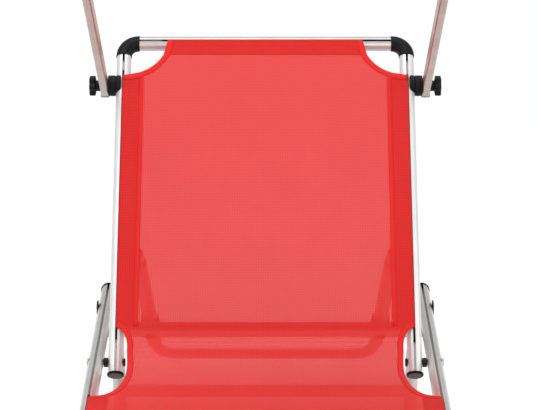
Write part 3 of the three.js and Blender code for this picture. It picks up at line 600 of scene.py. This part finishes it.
for side, word in SIDES:
    foot.band(f"foot_hem_{word}", *foot_hem, UNDER, hem_red, side)
    foot.band(f"foot_corner_hem_{word}", foot_end_corner, foot_tape, UNDER_FOLD, hem_red, side, 4)
    foot.band(f"foot_start_hem_{word}", foot_start_corner, offset_line(foot_start_corner, -9 * MM), UNDER_FOLD,
              hem_red, side, 4)
    foot.lip(f"foot_edge_{word}", foot_edge, side)
    foot.stitches(f"foot_seams_{word}", foot_seams, ON_CLOTH, side)
end_half, end_hem_half = RAIL - END_CUT, RAIL - math.sqrt(END_CUT ** 2 - WIDE_HEM ** 2)
foot.band("foot_end_hem", level_line(end_half, FOOT_END), level_line(end_hem_half, FOOT_END + WIDE_HEM), UNDER, hem_red)
foot.band("foot_start_hem", level_line(seat_half, FOOT_START), level_line(seat_half - 4 * MM, FOOT_START - END_HEM),
          UNDER, hem_red)
foot.lip("foot_end_edge", level_line(end_half, FOOT_END), ahead=-1)
foot.stitches("foot_end_seams", [level_line(end_hem_half - 9 * MM, FOOT_END + WIDE_HEM - 2 * MM, 1),
                                 level_line(seat_half - 8 * MM, FOOT_START - END_HEM + 2 * MM, 1),
                                 level_line(seat_half - 8 * MM, FOOT_START - 3 * MM, 1)], ON_CLOTH)
area_of(foot_rows)
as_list(foot.parts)

# Black side rods that hold the cloth in the slots, showing at their ends
CHANNEL = 7.4 * MM
for side, word in SIDES:
    low_end, high_end, seat_end = (0.039, 0.543, -0.172) if side < 0 else (0.034, 0.535, -0.191)
    for kind, place, x, start, end, body in (
            ("back_keder", back, SLOT_BACK, low_end, high_end, "backrest"),
            ("elbow_plug", back, SLOT_BACK, 0.5645, 0.576, "backrest"),
            ("seat_keder", seat, RAIL, -0.622, seat_end, "seat_frame"),
            ("foot_keder", seat, RAIL, -1.174, -0.668, "foot_section")):
        keder(f"{kind}_{word}", place(side * x, start, CHANNEL), place(side * x, end, CHANNEL), body)
keder("top_keder", back(-0.18, 0.6, CHANNEL), back(0.218, 0.6, CHANNEL), "backrest")
keder("foot_end_keder", seat(-0.213, FOOT_END, CHANNEL), seat(0.213, FOOT_END, CHANNEL), "foot_section")

# Canopy cloth: sewn round both rods, with a shallow belly and a hanging valance
INNER, OUTER, WRAP = 518 * MM, 827.5 * MM, 9.4 * MM
ROOF, HALF = OUTER - INNER, 262 * MM
BELLY, TAPER, FLAP = 14 * MM, 7 * MM, 17 * MM
VALANCE, SCALLOP = 62 * MM, 24 * MM
HANG = math.atan2(-math.cos(ARMS), -math.sin(ARMS))
COLUMNS, VALANCE_ROWS = 57, 12


def canopy_line():
    """Points (s, off, belly) round the inner rod, across to the outer rod, and round that one."""
    line = [(INNER + WRAP * math.cos(a), WRAP * math.sin(a), 0.0) for a in spaced(math.pi / 2, math.pi * 1.5, 10)]
    for t in spaced(0, 1, 22)[1:-1]:
        line.append((INNER + t * ROOF, 4 * t * (1 - t) * BELLY - WRAP, 4 * t * (1 - t)))
    return line + [(OUTER + WRAP * math.cos(a), WRAP * math.sin(a), 0.0)
                   for a in spaced(-math.pi / 2, HANG - math.pi / 2, 7)]


def canopy_ripple(x, t, q):
    belly = (1 - (x / HALF) ** 2) * 7 * MM * t
    pull = 2.4 * MM * math.sin(x * 38 + 1.1 * math.sin(q * 16)) * t * (1 - t * 0.6)
    return belly + pull + 1.3 * MM * noise.noise(Vector((x * 11, q * 13, 5.0))) * t


def roof_place(x, metres, off=0.0):
    """A place on the roof between the rods, by its distance from the inner one."""
    q = metres / ROOF
    t = 4 * q * (1 - q)
    return arms(x, INNER + metres, t * BELLY - WRAP + canopy_ripple(x, t, q * 0.32) - off)


def flap_on(rod, facing):
    """The cloth's end, folded round a rod and back onto the roof."""
    def place(x, q, off=0.0):
        rise = -WRAP + 2 * WRAP * math.cos(min(q / (19 * MM), 1) * math.pi / 2) ** 2
        return arms(x, rod + facing * q, rise + 0.9 * MM + off)
    return place


def valance_drop(x):
    """The valance hangs lower at its ends than in its middle."""
    return VALANCE - SCALLOP * (1 - (x / HALF) ** 2)


def valance_place(x, drop, off=0.0):
    share = drop / valance_drop(x)
    wave = 2.6 * MM * share * math.sin(x * 62 + 0.8 * math.sin(x * 17)) + 1.2 * MM * share * math.sin(x * 121)
    place = arms(x, roof[-1][0] + math.cos(HANG) * drop, roof[-1][1] + math.sin(HANG) * drop)
    return place + Vector((0, wave - off, 0))


roof = canopy_line()
points, flats = [], []
length = 0.0
for i, (s, off, t) in enumerate(roof):
    if i:
        length += math.dist((s, off), roof[i - 1][:2])
    for x in across(HALF - TAPER * t, COLUMNS - 1):
        points.append(arms(x, s, off + canopy_ripple(x, t, length)))
        flats.append((x, length))
for r in range(1, VALANCE_ROWS + 1):
    for x in across(HALF, COLUMNS - 1):
        drop = valance_drop(x) * r / VALANCE_ROWS
        points.append(valance_place(x, drop))
        flats.append((x, length + drop))
canopy_cloth = make("canopy_roof", points, grid_faces(len(roof) + VALANCE_ROWS, COLUMNS), cloth_red, "canopy",
                    "canopy_fabric", flats)
thicken(canopy_cloth, 0.8 * MM)
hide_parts("canopy_cloth")

canopy = Cloth(roof_place, "canopy", "canopy_fabric")
edge = [(HALF - TAPER * 4 * t * (1 - t), t * ROOF) for t in spaced(0.02, 0.98, 24)]
for side, word in SIDES:
    canopy.band(f"roof_hem_{word}", edge, [(x - 16 * MM, q) for x, q in edge], UNDER, cloth_red, side)
    canopy.stitches(f"roof_seam_{word}", [[(x - 14 * MM, q) for x, q in edge]], ON_CANOPY, side)
canopy.stitches("rod_seams", [level_line(HALF - 8 * MM, d, 2) for d in (FLAP, ROOF - FLAP)], ON_CANOPY)
for word, rod, facing in (("inner", INNER, 1), ("outer", OUTER, -1)):
    flap = [level_line(HALF * 0.985, q) for q in (0.0, FLAP)]
    canopy.band(f"rod_flap_{word}", *flap, 0.0, cloth_red, columns=8, place=flap_on(rod, facing))
low_edge = [(x, valance_drop(x)) for x in across(HALF, COLUMNS - 1)]
canopy.band("valance_hem", low_edge, [(x, d - 12 * MM) for x, d in low_edge], -0.9 * MM, cloth_red, columns=4,
            place=valance_place)
canopy.stitches("valance_seam", [[(x, d - 10 * MM) for x, d in low_edge]], ON_CANOPY, place=valance_place)
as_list(canopy.parts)


# Black corner elbows with a collar at each mouth and a screw on the rear side

def elbow(name, node, place, half, cy, inward, body):
    """half and cy are the corner's place; inward is +1 where the side tube runs to larger values."""
    bend, socket = 25.2 * MM, 1.5 * MM
    neck, rim, collar = 13.6 * MM, 13.4 * MM, 13.7 * MM
    path = [((half, cy + inward * (bend + socket * t)), (0, -inward)) for t in (1.0, 0.75, 0.62, 0.5, 0.0)]
    for a in spaced(0, math.pi / 2, 10)[1:]:
        path.append(((half - bend + bend * math.cos(a), cy + inward * (bend - bend * math.sin(a))),
                     (-math.sin(a), -inward * math.cos(a))))
    path += [((half - bend - socket * t, cy), (-1, 0)) for t in (0.5, 0.62, 0.75, 1.0)]
    radii = [collar, collar, rim] + [neck] * (len(path) - 6) + [rim, collar, collar]
    normal = (place(0, 0, 1) - place(0, 0, 0)).normalized()
    for side, word in SIDES:
        rings = []
        for (p, d), radius in zip(path, radii):
            centre = place(side * p[0], p[1], 0)
            ahead = (place(side * (p[0] + d[0] * MM), p[1] + d[1] * MM, 0) - centre).normalized()
            rings.append(ring_at(centre, ahead.cross(normal).normalized(), normal, radius, 28))
        piece = lofted(f"{name}_{word}", rings if side > 0 else [list(reversed(r)) for r in rings], black, body,
                       "black_plastic")
        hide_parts(f"{node}_{word}")
        soften(piece, 0.5 * MM)
        spot = place(side * (half - bend * 0.29), cy + inward * bend * 0.29, -13.4 * MM)
        rivet(f"{name}_screw_{word}", spot, -normal, 3.4 * MM, 1.6 * MM, body)


elbow("corner_elbow", "back_elbow", back, SLOT_BACK, 0.6, -1, "backrest")
elbow("foot_corner_elbow", "foot_elbow", seat, RAIL, FOOT_END, 1, "foot_section")


# Lobed hand knobs with rounded rims, a dished face and a covered nut

ARM_OUT = 284.8 * MM
KNOB_NECK = ((0, 9.6), (1.2, 9.6), (1.6, 9.2), (6.6, 9.2))  # mm out from the arm, and radius in mm
KNOB_LOBES = ((7.4, 0.76), (7.7, 0.92), (8.6, 0.985), (9.6, 1.0),  # mm out, and share of the full size
              (16.0, 1.0), (17.4, 0.985), (18.3, 0.93), (18.5, 0.84))
KNOB_FACE = ((17.7, 10.2), (17.5, 7.4), (17.7, 6.9), (18.8, 6.2), (19.0, 3.0))


def knob_ring(x, size):
    ring = []
    for i in range(72):
        a = 2 * math.pi * i / 72
        radius = (17.8 * MM - 4 * MM * (1 - math.cos(6 * a)) / 2) * size
        ring.append(Vector((x, TILT.y + radius * math.cos(a), TILT.z + radius * math.sin(a))))
    return ring


def round_rings(start, profile):
    return [ring_at(Vector((start + x * MM, TILT.y, TILT.z)), Vector((0, 1, 0)), Vector((0, 0, 1)), r * MM, 72)
            for x, r in profile]


knob_rings = round_rings(ARM_OUT, KNOB_NECK) + [knob_ring(ARM_OUT + x * MM, size) for x, size in KNOB_LOBES]
knob_rings += round_rings(ARM_OUT, KNOB_FACE)
for side, word in SIDES:
    knob = lofted(f"hand_knob_{word}", for_side(side, knob_rings), black, f"knob_{word}_body", "black_plastic")
    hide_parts(f"knob_{word}")

# Clamps: a round body across each backrest tube, with a deep and a faint groove
CLAMP = ((248.4, 3), (248.4, 16.4), (248.8, 17.5), (249.8, 18.2), (256.0, 18.2), (256.7, 16.9), (258.1, 16.9),
         (258.8, 18.0), (265.9, 18.0), (266.4, 17.4), (267.2, 17.4), (267.7, 18.0), (269.9, 17.9), (270.9, 17.0),
         (271.1, 3))
clamp_rings = round_rings(0, CLAMP)
for side, word in SIDES:
    clamp = lofted(f"clamp_body_{word}", for_side(side, clamp_rings), black, "backrest", "black_plastic")
    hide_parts(f"canopy_clamp_{word}")

# Caps in the ends of the canopy arms, each with a thin rim
ARM_X, ARM_ROUND = 278 * MM, 2 * MM
ARM_CORNERS = ((1, 1, 0), (-1, 1, 1), (-1, -1, 2), (1, -1, 3))
for side, word in SIDES:
    for tag, end, out in (("tail", -23 * MM, -1), ("tip", 840 * MM, 1)):
        rings = []
        for step, grow in ((-6.0, -1.9), (0.05, -1.9), (0.05, 1.0), (1.6, 1.0), (2.2, 0.2)):
            wide, tall = (6.5 + grow) * MM - ARM_ROUND, (12.5 + grow) * MM - ARM_ROUND
            ring = []
            for cx, cz, quarter in ARM_CORNERS:
                for k in range(5):
                    a = (quarter + k / 4) * math.pi / 2
                    ring.append(arms(side * ARM_X + cx * wide + ARM_ROUND * math.cos(a), end + out * step * MM,
                                     cz * tall + ARM_ROUND * math.sin(a)))
            rings.append(ring if out < 0 else list(reversed(ring)))
        lofted(f"arm_cap_{tag}_{word}", rings, cap_grey, "canopy", "arm_aluminium")


# Legs: the tube's ends are pressed flat where they pivot

LEAN = -math.radians(6)
PLATE_X, STRAIGHT_X, FOOT_X = 262.3 * MM, 257 * MM, 251 * MM
DROP, LEG_BEND = 268.07 * MM, 60 * MM
FLAT, TUBE, PLATE = 2 * MM, 11 * MM, 12 * MM  # half sizes of the pressed end's thickness, the tube and the plate


def leg(name):
    """A U tube. Each station is x, z, its half sizes across and along, and its direction where that is known."""
    origin = Vector(joints[f"{name}_fold"]["pos_m"])
    line = [(PLATE_X, z * MM, FLAT, math.sqrt(max(144 - z * z, 0.05)) * MM, None)
            for z in (11.9, 11.2, 9.8, 7.5, 4.5, 0)]
    line += [(PLATE_X, z * MM, FLAT, PLATE, None) for z in (-30, -44)]
    for t in spaced(0, 1, 6)[1:]:
        eased = t * t * (3 - 2 * t)
        line.append((PLATE_X + (STRAIGHT_X - PLATE_X) * eased, (-44 - 34 * t) * MM, FLAT + (TUBE - FLAT) * eased,
                     PLATE - (PLATE - TUBE) * eased, None))
    corner, inward = Vector((FOOT_X, -DROP)), Vector((-1, 0))
    into = (corner - Vector((STRAIGHT_X, -62 * MM))).normalized()
    turn = into.angle(inward)
    begin = corner - into * LEG_BEND * math.tan(turn / 2)
    sideways = (inward - into * into.dot(inward)).normalized()
    for a in spaced(0, turn, 12):
        p = begin + into * LEG_BEND * math.sin(a) + sideways * LEG_BEND * (1 - math.cos(a))
        line.append((p.x, p.y, TUBE, TUBE, into * math.cos(a) + sideways * math.sin(a)))
    line.append((0.0, -DROP, TUBE, TUBE, inward))
    line += [(-x, z, a, b, None if d is None else Vector((d.x, -d.y))) for x, z, a, b, d in reversed(line[:-1])]
    rings = []
    for i, (x, z, a, b, d) in enumerate(line):
        pressed = a < FLAT + 0.5 * MM
        if d is None:
            before, after = line[max(i - 1, 0)], line[min(i + 1, len(line) - 1)]
            d = Vector((0, -1)) if i < len(line) / 2 else Vector((0, 1))
            if not pressed:
                d = Vector((after[0] - before[0], after[1] - before[1])).normalized()
        power = 0.45 if pressed else 1.0
        ring = []
        for k in range(24):
            cu, su = math.cos(2 * math.pi * k / 24), math.sin(2 * math.pi * k / 24)
            u = math.copysign(abs(cu) ** power, cu) * a
            v = math.copysign(abs(su) ** power, su) * b
            ring.append(turned(origin, LEAN, x - d.y * u, v, z + d.x * u))
        rings.append(ring)
    piece = lofted(f"{name}_tube", rings, tube_plain, name, "tube_aluminium")
    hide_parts(name)


for word in ("rear", "middle", "foot"):
    leg(f"{word}_leg")


# Finishes and softened edges, in mm, on the CAD nodes that stay

def pairs(*kinds):
    return [f"{kind}_{word}" for kind in kinds for _, word in SIDES]


LOOKS = (
    (pairs("rail", "foot_tube"), tube_y, 0),
    (pairs("back_tube"), lit_tube_back, 0),
    (("back_top_tube", "back_cross_tube", "seat_cross_tube", "rear_cross_tube", "foot_end_tube", "canopy_rod_inner",
      "canopy_rod_outer"), tube_x, 0),
    (pairs("prop_sleeve") + ["prop_bow", "rear_leg_brace"], tube_plain, 0),
    (pairs("canopy_arm"), arm_metal, 0),
    (pairs("rail_cap", "back_cap", "prop_rack", "prop_clip"), black, 0.4),
    (pairs("rear_leg_pad", "middle_leg_pad", "foot_leg_pad"), black_soft, 0.8),
    (pairs("recline_bolt", "rear_leg_bolt", "middle_leg_bolt", "foot_leg_bolt", "foot_hinge_fixed",
           "foot_hinge_moving"), black_bolt, 0.4),
)
for names, finish, rounding in LOOKS:
    for name in names:
        node = nodes[name]
        node.data.materials.clear()
        node.data.materials.append(finish)
        node.data.shade_smooth()
        node.data.set_sharp_from_angle(angle=math.radians(34))
        if rounding:
            soften(node, rounding * MM)

# Small fixings: rivets on the hinges and racks, screws, covers on the bolts, and discs of painted light on the caps'
# end faces
BACK_DOWN, BACK_REAR = back(0, -1, 0) - back(0, 0, 0), back(0, 0, -1) - back(0, 0, 0)
LEG_BOLTS = (("rear", 0.272, "seat_frame"), ("middle", -0.52, "seat_frame"), ("foot", -1.115, "foot_section"))
for side, word in SIDES:
    inward = Vector((-side, 0, 0))
    for i, y in enumerate((-0.613, -0.632)):
        rivet(f"hinge_rivet_{i}_{word}", seat(side * 259.6 * MM, y, 0), inward, 3.2 * MM, 1.4 * MM, "seat_frame")
    for i, y in enumerate((-0.677, -0.658)):
        rivet(f"foot_hinge_rivet_{i}_{word}", seat(side * 254.3 * MM, y, 0), inward, 3.2 * MM, 1.4 * MM, "foot_section")
    for i, u in enumerate((0.137, 0.273)):
        rivet(f"rack_rivet_{i}_{word}", back(side * 226.3 * MM, u, -4 * MM), inward, 3 * MM, 1.2 * MM, "backrest")
    rivet(f"clamp_screw_{word}", back(side * 253 * MM, 0.517, -18.2 * MM), BACK_REAR, 3.6 * MM, 1.8 * MM, "backrest")
    for tag, y, body in LEG_BOLTS:
        rivet(f"{tag}_bolt_cover_{word}", seat(side * 290.8 * MM, y, 0), -inward, 14.1 * MM, 2.5 * MM, body)
    # A thin disc of painted light laid on the end face of the black cap
    rivet(f"lit_cap_face_{word}", back(side * SLOT_BACK, -24.1 * MM, 0), BACK_DOWN, 11.6 * MM, 0.6 * MM, "backrest",
          lit_cap_face, "black_plastic")
    rivet(f"recline_head_{word}", seat(side * 290.3 * MM, 0, 0), -inward, 7.8 * MM, 2.3 * MM, "seat_frame",
          tube_plain, "tube_aluminium")

# Studio: a pale floor, a white background, and soft lamps. What is seen of the floor is mostly glow, which makes it
# white, and the rest of it keeps the shadow
GLOW, GLOW_SHARE, FLOOR_HALF = 1.06, 0.76, 30
floor_shade = shade("studio_floor")
speck = floor_shade.noise(floor_shade.place("Object"), 40.0, 3.0)
pale = floor_shade.mix(speck, colour(248, 248, 247), colour(244, 244, 243))
matt = floor_shade.put("BsdfPrincipled", Base_Color=pale, Roughness=0.8)
glow = floor_shade.put("Emission", Color=(1, 1, 1, 1), Strength=GLOW)
whitened = floor_shade.math("MULTIPLY", floor_shade.seen(), GLOW_SHARE)
floor_mesh = bpy.data.meshes.new("studio_floor")
corners = [(x * FLOOR_HALF, y * FLOOR_HALF, 0) for x, y in ((-1, -1), (1, -1), (1, 1), (-1, 1))]
floor_mesh.from_pydata(corners, [], [(0, 1, 2, 3)])
floor_mesh.materials.append(floor_shade.finish(floor_shade.put("MixShader", _0=whitened, _1=matt, _2=glow)))
floor = bpy.data.objects.new("studio_floor", floor_mesh)
floor.location.z = -0.5 * MM
bpy.context.scene.collection.objects.link(floor)

sky = Shade(bpy.data.worlds.new("studio"))
height = sky.put("SeparateXYZ", Vector=sky.place("Generated")).node.outputs[2]
brightness = sky.ranged(sky.math("MULTIPLY", height, height), 0, 1, 0.5, 1.3)
soft = sky.put("Background", Color=(0.97, 0.985, 1.0, 1), Strength=brightness)
white = sky.put("Background", Color=(1, 1, 1, 1), Strength=1.0)
bpy.context.scene.world = sky.finish(sky.put("MixShader", _0=sky.seen(), _1=soft, _2=white))


def lamp(name, place, target, size, watts):
    data = bpy.data.lights.new(name, "AREA")
    data.shape = "DISK"
    data.size = size
    data.energy = watts
    light = bpy.data.objects.new(name, data)
    light.location = place
    light.rotation_euler = (Vector(target) - Vector(place)).to_track_quat("-Z", "Y").to_euler()
    bpy.context.scene.collection.objects.link(light)


lamp("key", (0.9, -4.4, 2.1), (0, 0.4, 0.5), 2.2, 50)
lamp("top", (-0.6, 0.4, 3.6), (0, 0.3, 0.3), 2.6, 30)
lamp("side_left", (-3.4, -0.6, 1.6), (0, 0.4, 0.4), 1.4, 18)
lamp("side_right", (3.4, -0.2, 1.6), (0, 0.4, 0.4), 1.4, 18)

# Camera, fitted to the photo: its focal length and the photo's width are in pixels, its place is from the recline axis
FOCAL, PHOTO_WIDTH, SENSOR = 2621, 537, 36
CAMERA_FRONT, CAMERA_UP, CAMERA_DOWN = 4.039, 1.489, math.radians(16.8)
camera_data = bpy.data.cameras.new("camera")
camera_data.sensor_width = SENSOR
camera_data.lens = FOCAL / PHOTO_WIDTH * SENSOR
camera_data.shift_x = 0.006
camera_data.clip_end = 100
camera = bpy.data.objects.new("camera", camera_data)
camera.location = (0, RECLINE.y - CAMERA_FRONT, RECLINE.z + CAMERA_UP)
camera.rotation_euler = (math.pi / 2 - CAMERA_DOWN, 0, 0)
bpy.context.scene.collection.objects.link(camera)
bpy.context.scene.camera = camera
bpy.context.scene.view_settings.view_transform = "Standard"
